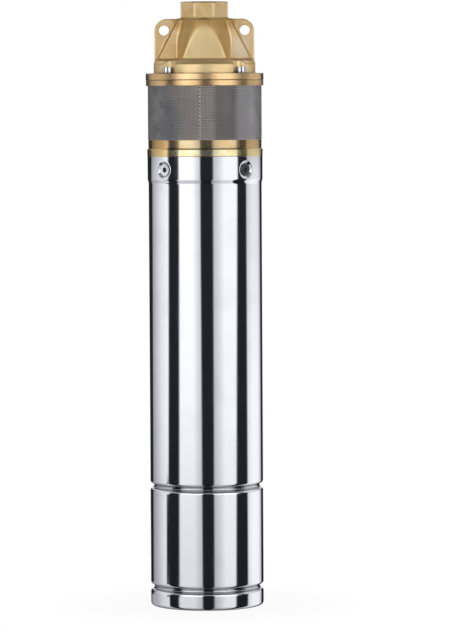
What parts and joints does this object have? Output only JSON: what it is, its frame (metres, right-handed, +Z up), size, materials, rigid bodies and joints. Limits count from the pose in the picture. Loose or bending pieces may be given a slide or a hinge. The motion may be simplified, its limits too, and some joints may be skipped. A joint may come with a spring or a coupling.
{
  "type": "borehole submersible pump",
  "caption": "Upright borehole pump: brass discharge head with rope eyes, perforated strainer and polished motor tube with rolled grooves. Rotor, impeller and ball rows turn inside.",
  "frame": {"origin": "centre of the foot, on the ground", "axes": "+Z up the shaft axis to the outlet, -Y to the front, the rope eyes on X"},
  "size_m": [0.098, 0.098, 0.503],
  "materials": {
    "cast_brass": "satin casting, polished rim",
    "turned_brass": "turned and polished",
    "strainer_steel": "perforated sheet, matt",
    "tube_steel": "mirror polished stainless",
    "bolt_steel": "bright stainless",
    "bearing_steel": "ground",
    "shaft_steel": "ground stainless",
    "cast_aluminium": "cast",
    "rubber": "matt black",
    "bronze": "turned bronze",
    "impeller_brass": "milled brass",
    "seal_ceramic": "white alumina",
    "carbon": "lapped carbon",
    "lamination": "stacked sheet",
    "copper": "varnished copper wire",
    "moulding": "moulded",
    "capacitor_can": "drawn can"
  },
  "bodies": {
    "housing": {"discharge_head": "cast_brass", "suction_lantern": "turned_brass", "strainer": "strainer_steel", "motor_flange": "turned_brass", "motor_tube": "tube_steel", "lower_bracket": "cast_aluminium", "bottom_cover": "cast_aluminium", "head_bolts": "bolt_steel", "lantern_bolts": "bolt_steel", "band_screws": "bolt_steel", "head_oring": "rubber", "flange_oring": "rubber", "bracket_oring": "rubber", "cover_oring": "rubber", "throat_bush": "bronze", "seal_seat": "seal_ceramic", "seat_gasket": "rubber", "lip_seal": "rubber", "cable_grommet": "rubber", "cable_gland_nut": "turned_brass", "cable_seal": "rubber", "upper_bearing_outer": "bearing_steel", "lower_bearing_outer": "bearing_steel", "wave_washer": "bearing_steel", "stator_core": "lamination", "stator_winding": "copper", "thermal_protector": "moulding", "run_capacitor": "capacitor_can", "capacitor_holder": "moulding"},
    "rotor": {"shaft": "shaft_steel", "rotor_core": "lamination", "rotor_cage": "cast_aluminium", "impeller": "impeller_brass", "impeller_key": "shaft_steel", "impeller_washer": "bolt_steel", "impeller_nut": "bolt_steel", "upper_bearing_inner": "bearing_steel", "lower_bearing_inner": "bearing_steel", "seal_carbon": "carbon", "seal_bellows": "rubber", "seal_spring": "bolt_steel", "spring_collar": "bolt_steel", "snap_ring": "bearing_steel"},
    "upper_ball_row": {"upper_balls": "bearing_steel", "upper_ball_cage": "bronze"},
    "lower_ball_row": {"lower_balls": "bearing_steel", "lower_ball_cage": "bronze"}
  },
  "joints": [
    {"name": "rotor_spin", "type": "hinge", "parent": "housing", "child": "rotor", "pos_m": [0, 0, 0.2], "axis": [0, 0, 1], "continuous": true},
    {"name": "upper_ball_row_spin", "type": "hinge", "parent": "housing", "child": "upper_ball_row", "pos_m": [0, 0, 0.363], "axis": [0, 0, 1], "continuous": true},
    {"name": "lower_ball_row_spin", "type": "hinge", "parent": "housing", "child": "lower_ball_row", "pos_m": [0, 0, 0.1059], "axis": [0, 0, 1], "continuous": true}
  ],
  "couplings": [
    {"joint": "upper_ball_row_spin", "follows": "rotor_spin", "ratio": 0.3816},
    {"joint": "lower_ball_row_spin", "follows": "rotor_spin", "ratio": 0.3816}
  ]
}
